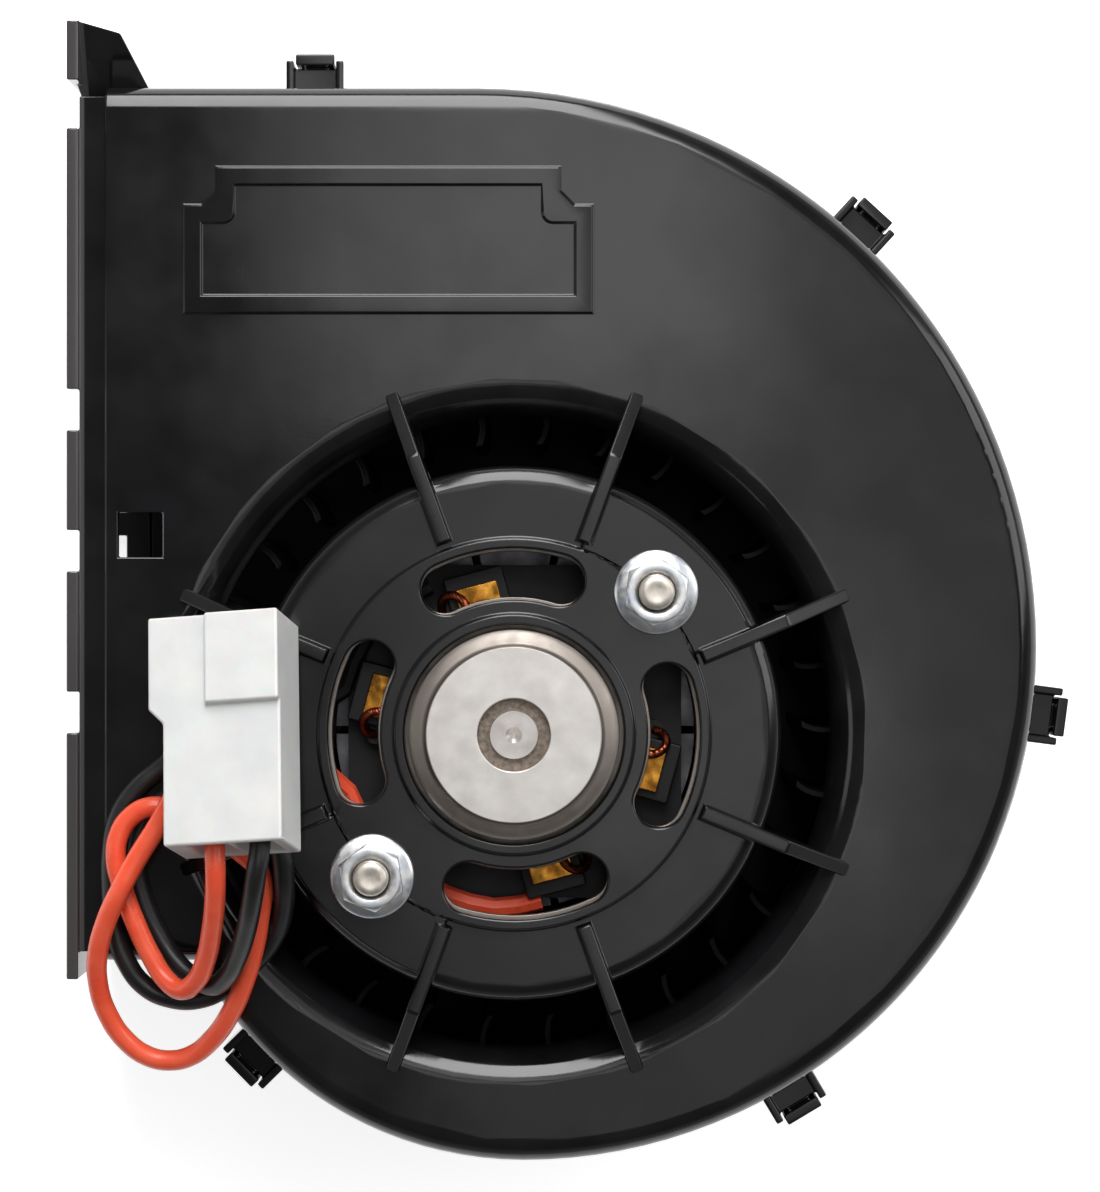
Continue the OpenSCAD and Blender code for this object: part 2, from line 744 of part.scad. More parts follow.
module front_shell() {
    lip_top = parting_height + lip_height + face_gap;
    color("#262729") difference() {
        union() {
            difference() {
                rounded_scroll(parting_height, casing_depth, 0, edge_round);
                scroll_slab(casing_wall, cavity_left, parting_height - over, casing_depth - casing_wall);
                scroll_slab(lip_thick, cavity_left, parting_height - over, lip_top);
                outlet_box(neck_inner, body_left - over, cavity_left + over, parting_height - over,
                    casing_depth - neck_inner);
                translate([0, 0, casing_depth - wall_cut])
                    cylinder(r = throat_r + mouth_round, h = 2 * wall_cut);
            }
            outlet_end(parting_height, casing_depth, parting_height - over, casing_depth - neck_inner,
                parting_height, casing_depth - neck_step);
            tongue(lip_top, casing_depth - casing_wall + 0.2);
            label_frame();
            corner_hook();
            inlet_mouth();
            at_latches() latch_keeper();
        }
        notch_cuts(flange_thick, parting_height + over, casing_depth + over);
        translate([window_inset - outlet_reach, window_height - window_side / 2, casing_depth - wall_cut])
            cube([window_side, window_side, 2 * wall_cut]);
    }
}

// Part of the front moulding that stands in the inlet
module motor_holder() {
    color("#2a2b2d") difference() {
        union() {
            holder_shape();
            difference() {
                for (angle = spoke_angles)
                    rotate(angle) spoke();
                mouth_side();
            }
        }
        cooling_slots(slot_width, holder_under - over, holder_top + over);
        stud_holes(stud_hole_r, holder_under - over, holder_top + over);
        grommet_slot();
    }
}

module rear_shell() {
    lip_top = parting_height + lip_height;
    color("#232426") difference() {
        union() {
            difference() {
                rounded_scroll(0, parting_height, edge_round, 0);
                scroll_slab(casing_wall, cavity_left, casing_wall, parting_height + over);
                outlet_box(neck_inner, body_left - over, cavity_left + over, neck_inner,
                    parting_height + over);
            }
            difference() {
                scroll_slab(lip_thick + face_gap, cavity_left, parting_height - over, lip_top);
                scroll_slab(casing_wall, cavity_left - over, parting_height - 2 * over, lip_top + over);
            }
            outlet_end(0, parting_height, neck_inner, parting_height + over, neck_step, parting_height);
            tongue(casing_wall - 0.2, parting_height);
            intersection() {
                tongue(parting_height - over, lip_top);
                scroll_slab(lip_thick + 2 * face_gap, cavity_left, parting_height - 2 * over,
                    lip_top + over);
            }
            at_latches() latch_tongue_arm();
        }
        notch_cuts(rear_notch_depth, -over, parting_height - over);
    }
}

// Motor body
module stud_holes(radius, low, high) {
    for (angle = stud_angles)
        at_polar(angle, stud_reach) translate([0, 0, low]) cylinder(r = radius, h = high - low);
}

module motor_end_plate() {
    cup_height = front_cup_top - plate_low;
    color("#b9b7b0") difference() {
        rotate_extrude() {
            translate([front_cup_in_r, plate_low]) square([plate_r - front_cup_in_r, plate_thick]);
            difference() {
                translate([cup_hole_r, plate_low]) square([front_cup_r - cup_hole_r, cup_height]);
                translate([0, plate_low - over]) square([front_cup_in_r, cup_height - cup_wall + over]);
                translate([0, front_cup_top]) polygon([
                    [cup_face_r, over], [cup_face_r, 0], [cup_face_r + cup_step / 3, -cup_step / 3],
                    [cup_face_r + cup_step * 0.6, -cup_step * 0.8], [cup_face_r + cup_step, -cup_step],
                    [front_cup_r - cup_step, -cup_step * 1.4], [front_cup_r, -cup_step * 2.4],
                    [front_cup_r + over, -cup_step * 2.4], [front_cup_r + over, over]
                ]);
            }
        }
        cooling_slots(slot_width - 1, plate_low - over, holder_under + over);
        stud_holes(stud_r + fit_gap, plate_low - over, holder_under + over);
    }
}

module motor_can() {
    color("#5f6164") difference() {
        union() {
            tube(can_r, can_inner_r, can_low, plate_low);
            tube(can_r, rear_cup_in_r, can_low, can_floor);
            difference() {
                tube(rear_cup_r, cup_hole_r, rear_cup_low, can_floor);
                translate([0, 0, rear_cup_low + cup_wall])
                    cylinder(r = rear_cup_in_r, h = can_floor - rear_cup_low);
            }
        }
        translate([-can_r - over, -can_notch_w / 2, card_high + 1])
            cube([can_wall + 3 * over, can_notch_w, plate_low - card_high]);
        for (angle = vent_angles)
            at_polar(angle, vent_reach) translate([0, 0, can_low - over])
                cylinder(r = vent_r, h = can_wall + 2 * over);
    }
}

module magnets() {
    color("#3b3c40") for (i = [0 : magnet_count - 1])
        ring_sector(core_r + air_gap, can_inner_r - face_gap, magnet_low, magnet_high,
            (i + 0.5) * 360 / magnet_count - magnet_span / 2, magnet_span);
}

module mounting_studs() {
    color("#c9cbcc") for (angle = stud_angles)
        at_polar(angle, stud_reach) {
            translate([0, 0, stud_low]) cylinder(r = stud_head_r, h = stud_head_h);
            translate([0, 0, stud_low]) cylinder(r = stud_r, h = stud_top - stud_low);
        }
}

module flange_nuts() {
    color("#d6d8da") for (angle = stud_angles)
        at_polar(angle, stud_reach) translate([0, 0, holder_top]) difference() {
            union() {
                cylinder(r = nut_flange_r, h = nut_flange_h);
                cylinder(r = nut_hex / 2 / cos(30), h = nut_h, $fn = 6);
            }
            translate([0, 0, -over]) cylinder(r = stud_r + fit_gap, h = nut_h + 2 * over);
        }
}

// Self-aligning bearings: a ball-shaped bush, its oil felt and its spring retainer
module bush(centre_z) {
    translate([0, 0, centre_z]) difference() {
        intersection() {
            sphere(r = bush_ball_r);
            translate([0, 0, -bush_length / 2]) cylinder(r = bush_ball_r + over, h = bush_length);
        }
        translate([0, 0, -bush_length]) cylinder(r = shaft_r + fit_gap, h = 2 * bush_length);
    }
}

module front_bush() {
    color("#a9824a") bush(front_bush_z);
}

module rear_bush() {
    color("#a9824a") bush(rear_bush_z);
}

module front_oil_felt() {
    color("#d8d2c0") tube(front_cup_in_r - face_gap, bush_ball_r + loose_gap,
        front_bush_z - retainer_off + retainer_thick + face_gap, front_cup_top - cup_wall - face_gap);
}

module rear_oil_felt() {
    color("#d8d2c0") tube(rear_cup_in_r - face_gap, bush_ball_r + loose_gap,
        rear_cup_low + cup_wall + face_gap, rear_bush_z + retainer_off - retainer_thick - face_gap);
}

module retainer(outer_r, low) {
    tube(outer_r, sqrt(bush_ball_r * bush_ball_r - pow(retainer_off - retainer_thick, 2)) + face_gap,
        low, low + retainer_thick);
}

module front_bush_retainer() {
    color("#8e9092") retainer(front_cup_in_r - fit_gap, front_bush_z - retainer_off);
}

module rear_bush_retainer() {
    color("#8e9092") retainer(rear_cup_in_r - fit_gap, rear_bush_z + retainer_off - retainer_thick);
}

// Turning parts
module shaft() {
    color("#c4c6c8") difference() {
        translate([0, 0, shaft_low]) cylinder(r = shaft_r, h = shaft_top - shaft_low);
        translate([0, 0, shaft_top - centre_mark_h])
            cylinder(r1 = 0.2, r2 = centre_mark_r, h = centre_mark_h + 0.01);
    }
}

module armature_core() {
    color("#6d6a66") translate([0, 0, core_low]) linear_extrude(core_length) difference() {
        circle(r = core_r);
        circle(r = shaft_r + fit_gap);
        for (i = [0 : bar_count - 1])
            rotate(i * 360 / bar_count) {
                translate([slot_ring_r, 0]) circle(r = slot_r);
                translate([slot_ring_r, -slot_mouth / 2]) square([core_r - slot_ring_r + over, slot_mouth]);
            }
    }
}

module winding_end(low) {
    rotate_extrude() {
        translate([winding_in_r, low]) square([winding_out_r - winding_in_r - winding_h / 2, winding_h]);
        translate([winding_out_r - winding_h / 2, low + winding_h / 2]) circle(r = winding_h / 2);
    }
}

module armature_windings() {
    color("#b0602c") union() {
        winding_end(core_low - winding_h);
        winding_end(core_high);
        for (i = [0 : bar_count - 1])
            at_polar(i * 360 / bar_count, slot_ring_r) translate([0, 0, core_low - winding_h / 2])
                cylinder(r = slot_r - loose_gap, h = core_length + winding_h);
    }
}

module commutator_hub() {
    color("#2b211b") tube(commutator_r - bar_depth, shaft_r + fit_gap, bar_low, bar_high);
}

module commutator_bars() {
    bar_span = 360 / bar_count - bar_gap_angle;
    color("#c07a45") for (i = [0 : bar_count - 1])
        rotate(i * 360 / bar_count) union() {
            ring_sector(commutator_r - bar_depth, commutator_r, bar_low, bar_high, 0, bar_span);
            ring_sector(commutator_r - 1, commutator_r + bar_riser, bar_low, bar_low + bar_riser_h,
                bar_gap_angle, bar_span - 2 * bar_gap_angle);
        }
}

module thrust_washers() {
    color("#e3dfd2") {
        tube(washer_r, shaft_r + fit_gap, front_washer_top - washer_thick, front_washer_top);
        tube(washer_r, shaft_r + fit_gap, rear_washer_low, rear_washer_low + washer_thick);
    }
}

module shaft_collars() {
    color("#9b9da0") {
        tube(collar_r, shaft_r + fit_gap, front_collar_top - collar_h, front_collar_top);
        tube(collar_r, shaft_r + fit_gap, rear_collar_low, rear_collar_low + collar_h);
    }
}

module blade() {
    linear_extrude(ring_high - ring_h / 2 - blade_low + over / 2) intersection() {
        translate([wheel_r - blade_depth / 2, blade_curve]) difference() {
            circle(r = blade_curve + blade_thick / 2);
            circle(r = blade_curve - blade_thick / 2);
        }
        translate([eye_r, -over]) square([blade_depth, blade_curve]);
    }
}

module wheel() {
    color("#1d1e20") union() {
        tube(wheel_r, hub_insert_r, wheel_floor, blade_low);
        tube(hub_r, hub_insert_r, wheel_floor, hub_high);
        tube(wheel_r + 0.8, wheel_r - ring_thick, ring_high - ring_h, ring_high);
        for (i = [0 : blade_count - 1])
            rotate(i * 360 / blade_count) translate([0, 0, blade_low - over / 2]) blade();
    }
}

module wheel_hub_insert() {
    color("#b8924c") tube(hub_insert_r, shaft_r + fit_gap, wheel_floor, hub_high);
}

module wheel_retaining_ring() {
    color("#8e9092") tube(ring_clip_r, shaft_r + fit_gap,
        wheel_floor - face_gap - ring_clip_h, wheel_floor - face_gap);
}

// Brush gear
module brush_card() {
    color("#19191b") difference() {
        union() {
            intersection() {
                translate([-card_side / 2, -card_side / 2, card_low])
                    cube([card_side, card_side, card_thick]);
                translate([0, 0, card_low]) cylinder(r = can_inner_r - face_gap, h = card_thick);
            }
            for (angle = brush_angles)
                rotate(angle) translate([post_place_r, post_off, card_high - over / 2])
                    cylinder(r = post_r, h = post_h + over / 2);
        }
        translate([0, 0, card_low - over]) cylinder(r = card_bore_r, h = card_thick + 2 * over);
    }
}

module brush_boxes() {
    color("#c9a13f") for (angle = brush_angles)
        rotate(angle) difference() {
            translate([box_in_r, -box_w / 2, card_high]) cube([box_out_r - box_in_r, box_w, box_h]);
            translate([box_in_r - over, -box_w / 2 + box_wall, card_high + box_wall])
                cube([box_out_r - box_in_r - box_wall + over, box_w - 2 * box_wall, box_h - 2 * box_wall]);
            translate([shunt_slot_in_r, -shunt_slot_w / 2, box_top - box_wall - over])
                cube([post_place_r - shunt_slot_in_r, shunt_slot_w, box_wall + 2 * over]);
        }
}

module brush(angle) {
    color("#2f3033") rotate(angle)
        translate([brush_tip_r, -brush_w / 2, brush_z - brush_h / 2])
            cube([brush_length, brush_w, brush_h]);
}

module brush_1() {
    brush(brush_angles[0]);
}

module brush_2() {
    brush(brush_angles[1]);
}

module brush_3() {
    brush(brush_angles[2]);
}

module brush_4() {
    brush(brush_angles[3]);
}

module brush_springs() {
    start = brush_end_r + spring_wire / 2 + face_gap;
    travel = box_out_r - box_wall - spring_wire / 2 - face_gap - start;
    steps = spring_turns * 10;
    coil = [
        for (i = [0 : steps])
            let (a = 36 * i)
            [start + travel * i / steps, spring_r * cos(a), brush_z + spring_r * sin(a)]
    ];
    color("#a8aaad") for (angle = brush_angles)
        rotate(angle) swept_tube(coil, spring_wire, 5, [1, 0, 0]);
}

module brush_shunts() {
    start_r = brush_end_r - 1.5;
    loop = [
        [start_r, 0, brush_z + brush_h / 2 + 0.2], [start_r, 0, box_top + 0.3],
        [start_r + 0.6, 0.8, box_top + 1.2], [start_r + 1.8, 2.6, box_top + 1.4],
        [start_r + 3.2, 4.6, box_top + 0.7],
        [post_place_r, post_off, box_top - 0.8], [post_place_r, post_off, card_high + post_h]
    ];
    color("#b5562b") for (angle = brush_angles)
        rotate(angle) swept_tube(loop, shunt_d, 6, [0, 1, 0]);
}

// Leads inside the motor, from the brush card to the grommet
function around(start, stop, count) = [
    for (i = [0 : count])
        let (a = start + (stop - start) * i / count, r = inner_lead_r - lead_ease * max(0, 1 - i / 2))
        [r * cos(a), r * sin(a), inner_lead_z]
];

function lead_inside(turn, count, y) = concat(
    around(turn[0], turn[1], count),
    [
        [0.5 - can_inner_r, y * 1.1, grommet_z - 1.2], [-can_r - 1.5, y, grommet_z],
        [-lead_exit, y, grommet_z]
    ]
);

module red_lead_inner() {
    color("#e8502f") swept_tube(lead_inside(red_lead_turn, 10, -lead_pitch / 2), lead_d, lead_sides);
}

module black_lead_inner() {
    color("#1c1c1e") swept_tube(lead_inside(black_lead_turn, 5, lead_pitch / 2), lead_d, lead_sides);
}

module lead_grommet() {
    color("#161617") difference() {
        union() {
            translate([-holder_r - grommet_lip, -grommet_w / 2, grommet_z - grommet_h / 2])
                cube([grommet_lip + holder_plate, grommet_w, grommet_h]);
            translate([-holder_r - grommet_lip, -brim_w / 2, grommet_z - brim_h / 2])
                cube([grommet_lip, brim_w, brim_h]);
        }
        for (side = [-1, 1])
            translate([-holder_r - grommet_lip - over, side * lead_pitch / 2, grommet_z]) rotate([0, 90, 0])
                cylinder(r = lead_d / 2 + fit_gap, h = grommet_lip + holder_plate + 2 * over);
    }
}

// Free leads and their connector
module red_lead() {
    color("#e8502f") swept_tube(red_route, lead_d, lead_sides);
}

module black_lead() {
    color("#1c1c1e") swept_tube(black_route, lead_d, lead_sides);
}

module on_plug() {
    translate(plug_place) rotate(plug_tilt) rotate(plug_roll) children();
}

module at_tabs() {
    for (side = [-1, 1])
        translate([tab_shift + side * tab_pitch / 2, 0, 0]) children();
}

module connector_housing() {
    color("#f1f1ee") on_plug() difference() {
        union() {
            translate([-plug_w / 2, -plug_l / 2, -plug_t / 2]) cube([plug_w, plug_l, plug_t]);
            translate([-plug_w / 2 - hood_flange, 0, -plug_t / 2]) linear_extrude(plug_t)
                polygon([
                    [0, plug_l / 2], [hood_flange + over, plug_l / 2],
                    [hood_flange + over, plug_l / 2 - hood_flange_l - hood_flange],
                    [hood_flange, plug_l / 2 - hood_flange_l - hood_flange],
                    [0, plug_l / 2 - hood_flange_l]
                ]);
            translate([-2.5, plug_l / 2 - latch_pad_l, plug_t / 2 - over])
                cube([plug_w / 2 + 2.5, latch_pad_l, latch_pad_rise + over]);
        }
        translate([-plug_w / 2 + hood_wall, plug_l / 2 - hood_depth, -plug_t / 2 + hood_wall])
            cube([plug_w - 2 * hood_wall, hood_depth + over, plug_t - 2 * hood_wall]);
        at_tabs() translate([0, -plug_l / 2 - over, 0]) rotate([-90, 0, 0])
            cylinder(r = wire_port_r, h = port_depth + over);
        at_tabs() translate([-pocket_w / 2, -plug_l / 2 - over, -plug_t / 2 + hood_wall])
            cube([pocket_w, pocket_depth + over, plug_t - 2 * hood_wall]);
        at_tabs() translate([-tab_w / 2, tab_low, -tab_thick / 2]) cube([tab_w, plug_l, tab_thick]);
    }
}

module connector_tabs() {
    color("#c8b26a") on_plug() at_tabs() translate([-tab_w / 2, tab_low, -tab_thick / 2])
        cube([tab_w, plug_l / 2 - hood_depth + tab_l - tab_low, tab_thick]);
}

front_shell();
rear_shell();
motor_holder();
motor_end_plate();
motor_can();
magnets();
mounting_studs();
flange_nuts();
front_bush();
front_oil_felt();
front_bush_retainer();
rear_bush();
rear_oil_felt();
rear_bush_retainer();
shaft();
armature_core();
armature_windings();
commutator_hub();
commutator_bars();
thrust_washers();
shaft_collars();
wheel();
wheel_hub_insert();
wheel_retaining_ring();
brush_card();
brush_boxes();
brush_springs();
brush_shunts();
brush_1();
brush_2();
brush_3();
brush_4();
red_lead_inner();
black_lead_inner();
lead_grommet();
red_lead();
black_lead();
connector_housing();
connector_tabs();
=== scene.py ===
"""Looks of a ventilation blower that lies on its back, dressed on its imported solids. Metres."""
import json
import math

import bmesh
import bpy
from mathutils import Matrix, Vector


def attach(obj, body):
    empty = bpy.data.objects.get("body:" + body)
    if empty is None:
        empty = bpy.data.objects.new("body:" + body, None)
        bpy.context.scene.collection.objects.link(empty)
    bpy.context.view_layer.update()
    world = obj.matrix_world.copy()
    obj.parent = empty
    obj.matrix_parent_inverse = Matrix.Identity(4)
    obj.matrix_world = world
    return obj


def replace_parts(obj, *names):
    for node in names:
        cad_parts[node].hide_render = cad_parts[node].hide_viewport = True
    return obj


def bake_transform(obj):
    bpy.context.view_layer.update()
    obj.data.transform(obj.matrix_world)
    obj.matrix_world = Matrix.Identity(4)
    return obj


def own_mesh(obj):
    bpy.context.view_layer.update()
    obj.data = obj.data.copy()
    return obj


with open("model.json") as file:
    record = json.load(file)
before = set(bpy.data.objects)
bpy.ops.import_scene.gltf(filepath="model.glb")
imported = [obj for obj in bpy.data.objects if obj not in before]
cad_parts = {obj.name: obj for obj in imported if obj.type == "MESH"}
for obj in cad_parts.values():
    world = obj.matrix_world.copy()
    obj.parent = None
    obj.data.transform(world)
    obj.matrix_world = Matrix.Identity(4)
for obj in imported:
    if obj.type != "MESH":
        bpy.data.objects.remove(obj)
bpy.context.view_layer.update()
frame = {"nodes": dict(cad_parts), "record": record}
solids = frame["nodes"]
SLOT_OF = {part["node"]: part["material_slot"] for part in frame["record"]["subparts"]}
BODY_OF = {
    node: body for body, nodes in frame["record"]["behaviour"]["bodies"].items() for node in nodes
}
MM = 0.001
AXIS = Vector((0, 0, 1))


# Camera: straight down on the front face, with the photograph's long side over VIEW_HEIGHT of it

FACE_LEVEL = 68 * MM
CAMERA_RISE = 720 * MM
CAMERA_SPOT = Vector((6.03, 23.2, 0)) * MM
CAMERA_CLIP = 10 * MM
VIEW_HEIGHT = 202.64 * MM


def place_camera():
    lens = bpy.data.cameras.new("camera")
    lens.lens = lens.sensor_width * CAMERA_RISE / VIEW_HEIGHT
    lens.clip_start = CAMERA_CLIP
    camera = bpy.data.objects.new("camera", lens)
    camera.location = CAMERA_SPOT + AXIS * (FACE_LEVEL + CAMERA_RISE)
    bpy.context.collection.objects.link(camera)
    bpy.context.scene.camera = camera


place_camera()


# Leads: the routes of the solids, from the holder's side wall, once round and into the connector

LEAD_D = 3.5
RED_ROUTE = [
    (-46.8, -2, 69), (-48.6, -2, 69.2), (-50.4, -2.7, 70.9), (-52.4, -4.1, 73.5),
    (-54.8, -6.8, 76.5), (-57.3, -10.9, 77.9), (-60, -15.7, 77.7), (-63.3, -21, 77.6),
    (-66.1, -26.2, 77.7), (-68.5, -31.3, 76.1), (-70.2, -36.8, 73.7), (-70.5, -42.3, 71),
    (-69.1, -47.8, 68.7), (-66.1, -52.5, 67.2), (-62.4, -55.2, 66.6), (-58.7, -55.9, 66.7),
    (-55, -55, 67.3), (-51.3, -52, 69.1), (-48.1, -47.5, 71.6), (-45.7, -42.3, 73.9),
    (-43.9, -36.5, 75.1), (-42.8, -30.5, 75.8), (-42.2, -25.4, 77), (-43.2, -22.1, 78.4),
    (-45.5, -19.8, 79.2), (-49.2, -17.2, 78.1), (-53.4, -14.4, 75.5), (-57.7, -12.8, 74.1),
    (-61.6, -12.4, 74), (-64.5, -13.9, 73.8), (-66.5, -16.7, 73.8), (-67.2, -20.8, 73.9),
    (-66, -26.3, 73.5), (-63.8, -32.1, 73.8), (-61.2, -37.6, 73.8), (-58.5, -41.6, 74.5),
    (-55.9, -43, 75.9), (-53.4, -41.4, 77.9), (-51.4, -37.3, 80.8), (-50.2, -32.5, 84.4),
    (-49.4, -27.4, 87.9), (-49.1, -22.7, 90.1), (-49.2, -18.7, 90.1), (-49.3, -14.8, 89.2),
]
BLACK_ROUTE = [
    (-46.8, 2, 69), (-48.6, 2, 69.2), (-51, 1.5, 70), (-54.9, -1.1, 70.1),
    (-59.3, -5.5, 70), (-64, -9.5, 70), (-67.2, -14.5, 69.9), (-68.3, -20.5, 69.9),
    (-68.3, -26.7, 69.9), (-67.8, -32.9, 69.9), (-65.8, -38.8, 70), (-62.7, -42.9, 69.9),
    (-58.6, -44.9, 69.8), (-53.6, -45.1, 69.8), (-49, -43.1, 69.9), (-44.5, -39.2, 70.5),
    (-40.7, -34.6, 72.2), (-38.8, -29.4, 75.6), (-38.5, -23.8, 79), (-39.2, -18.7, 80.3),
    (-41.2, -14.8, 80.2), (-44.4, -12, 78.7), (-48.8, -10.2, 75.4), (-53.7, -10, 72),
    (-58.4, -10.9, 70.3), (-61.6, -12.9, 69.9), (-63.6, -16.8, 70), (-64.2, -22.6, 70),
    (-62.9, -28.6, 69.9), (-60.3, -34.2, 70), (-56.9, -39.1, 70.9), (-53.5, -41.7, 72.4),
    (-50.7, -42.4, 74.3), (-48.2, -40.5, 77.3), (-46, -36.6, 81.3), (-44.4, -32.2, 85.4),
    (-43.2, -27.4, 89.2), (-42.3, -22.4, 91.5), (-41.7, -18.2, 91.5), (-41.6, -14.3, 90.6),
]
WIRE_ROUNDNESS = 5
WIRE_STEPS = 8


def wire(name, route, diameter):
    """One smooth round wire along a route, in millimetres."""
    curve = bpy.data.curves.new(name, "CURVE")
    curve.dimensions = "3D"
    # A depth of 1 leaves the wire's thickness to the radius of each knot
    curve.bevel_depth = 1
    curve.bevel_resolution = WIRE_ROUNDNESS
    curve.resolution_u = WIRE_STEPS
    curve.use_fill_caps = True
    spline = curve.splines.new("BEZIER")
    spline.bezier_points.add(len(route) - 1)
    for knot, point in zip(spline.bezier_points, route):
        knot.co = Vector(point) * MM
        knot.radius = diameter / 2 * MM
        knot.handle_left_type = knot.handle_right_type = "AUTO"
    piece = bpy.data.objects.new(name, curve)
    bpy.context.collection.objects.link(piece)
    return piece


red_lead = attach(wire("red_lead_wire", RED_ROUTE, LEAD_D), "casing")
black_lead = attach(wire("black_lead_wire", BLACK_ROUTE, LEAD_D), "casing")
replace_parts(red_lead, "red_lead")
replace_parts(black_lead, "black_lead")


# Surface finishes, all read on object coordinates

# Length of one wave of the wave texture at a scale of 1
WAVE_PERIOD = 0.314
# Most of a noise texture lies between these two values
MIDDLE_LOW = 0.3
MIDDLE_HIGH = 0.7
WHITE = (1, 1, 1, 1)


def paint(red, green, blue):
    """Screen colour (sRGB), 0 to 255, as the light that a surface returns."""
    def light(level):
        level /= 255
        return level / 12.92 if level <= 0.04045 else ((level + 0.055) / 1.055) ** 2.4
    return light(red), light(green), light(blue), 1


class Finish:
    """A surface finish: one shader, and the textures that vary it over the piece."""

    def __init__(self, name, color, roughness, metallic=0.0, **gloss):
        self.material = bpy.data.materials.new(name)
        self.material.use_nodes = True
        self.nodes = self.material.node_tree.nodes
        self.links = self.material.node_tree.links
        self.shader = self.nodes["Principled BSDF"]
        self.place = self.nodes.new("ShaderNodeTexCoord").outputs["Object"]
        self.set("Base Color", color)
        self.set("Roughness", roughness)
        self.set("Metallic", metallic)
        for socket, level in gloss.items():
            self.set(socket.replace("_", " "), level)
        self.material.diffuse_color = color

    def set(self, socket, level):
        self.shader.inputs[socket].default_value = level

    def vary(self, socket, source):
        self.links.new(source, self.shader.inputs[socket])

    def feed(self, socket, level):
        if isinstance(level, bpy.types.NodeSocket):
            self.links.new(level, socket)
        else:
            socket.default_value = level

    def node(self, kind, **inputs):
        made = self.nodes.new(kind)
        for socket, level in inputs.items():
            self.feed(made.inputs[socket.replace("_", " ")], level)
        return made

    def ramp(self, value, start, end, low=0.0, high=1.0):
        """Passes from low to high as a value goes from start to end."""
        made = self.node(
            "ShaderNodeMapRange", Value=value, From_Min=start, From_Max=end, To_Min=low, To_Max=high)
        return made.outputs["Result"]

    def wave(self, pitch, wobble):
        return self.node(
            "ShaderNodeTexWave", Vector=self.place, Scale=WAVE_PERIOD / (pitch * MM), Distortion=wobble)

    def mottle(self, grain, detail):
        """Cloudy noise whose patches are about one grain across, in millimetres."""
        noise = self.node("ShaderNodeTexNoise", Vector=self.place, Scale=1 / (grain * MM), Detail=detail)
        return noise.outputs["Fac"]

    def rings(self, pitch, wobble):
        """Turning marks about the shaft axis."""
        wave = self.wave(pitch, wobble)
        wave.wave_type = "RINGS"
        wave.rings_direction = "Z"
        return wave.outputs["Fac"]

    def layers(self, pitch, wobble=0.0, direction="Z"):
        """Bands stacked along one direction."""
        wave = self.wave(pitch, wobble)
        wave.bands_direction = direction
        return wave.outputs["Fac"]

    def beyond(self, inner, outer):
        """Rises from 0 to 1 between two distances from the shaft axis, in millimetres."""
        flat = self.node("ShaderNodeMapping", Vector=self.place, Scale=(1, 1, 0)).outputs["Vector"]
        away = self.nodes.new("ShaderNodeVectorMath")
        away.operation = "LENGTH"
        self.links.new(flat, away.inputs[0])
        return self.ramp(away.outputs["Value"], inner * MM, outer * MM)

    def past(self, axis, start, end):
        """Rises from 0 to 1 between two places along an axis, in millimetres."""
        parts = self.node("ShaderNodeSeparateXYZ", Vector=self.place).outputs
        return self.ramp(parts[axis], start * MM, end * MM)

    def both(self, one, other):
        """The share where two shares meet."""
        made = self.nodes.new("ShaderNodeMath")
        made.operation = "MULTIPLY"
        self.links.new(one, made.inputs[0])
        self.links.new(other, made.inputs[1])
        return made.outputs["Value"]

    def spread(self, texture, low, high):
        """A texture's middle range as a number between low and high."""
        return self.ramp(texture, MIDDLE_LOW, MIDDLE_HIGH, low, high)

    def blend(self, share, near, far):
        """A colour that passes from near to far as a share rises from 0 to 1."""
        mixer = self.nodes.new("ShaderNodeMix")
        mixer.data_type = "RGBA"
        factor, near_side, far_side = mixer.inputs[0], mixer.inputs[6], mixer.inputs[7]
        self.links.new(share, factor)
        self.feed(near_side, near)
        self.feed(far_side, far)
        return mixer.outputs[2]

    def cloud(self, dark, light, grain, detail):
        """Colours the surface in patches between dark and light."""
        share = self.spread(self.mottle(grain, detail), 0, 1)
        self.vary("Base Color", self.blend(share, dark, light))

    def stain(self, share, color):
        """Lays a colour over the surface by a share."""
        under = self.shader.inputs["Base Color"].links[0].from_socket
        self.vary("Base Color", self.blend(share, under, color))

    def sheen(self, low, high, grain, detail):
        """Varies the roughness in patches between low and high."""
        self.vary("Roughness", self.spread(self.mottle(grain, detail), low, high))

    def relief(self, texture, depth):
        """Raises the surface by a texture, up to a depth in millimetres, on top of any earlier relief."""
        bump = self.node("ShaderNodeBump", Height=texture, Distance=depth * MM)
        normal = self.shader.inputs["Normal"]
        if normal.is_linked:
            self.links.new(normal.links[0].from_socket, bump.inputs["Normal"])
        self.links.new(bump.outputs["Normal"], normal)


def moulded(name, dark, light, gloss, shine=0.5):
    """Black moulded plastic: cloudy colour and sheen, and the fine skin of the mould."""
    finish = Finish(name, light, gloss[1], Specular_IOR_Level=shine)
    finish.cloud(dark, light, grain=9, detail=5)
    finish.sheen(*gloss, grain=16, detail=6)
    finish.relief(finish.mottle(grain=0.55, detail=2), depth=0.002)
    finish.relief(finish.mottle(grain=16, detail=2), depth=0.03)
    return finish


def bright_metal(name, dark, light, gloss, grain, skin=0.004):
    """Bare or plated metal with a cloudy sheen and a fine skin."""
    finish = Finish(name, light, gloss[1], metallic=1.0)
    finish.cloud(dark, light, grain, detail=4)
    finish.sheen(*gloss, grain=grain * 0.6, detail=5)
    finish.relief(finish.mottle(grain=0.3, detail=3), skin)
    return finish


DULL_SPAN = 0.06


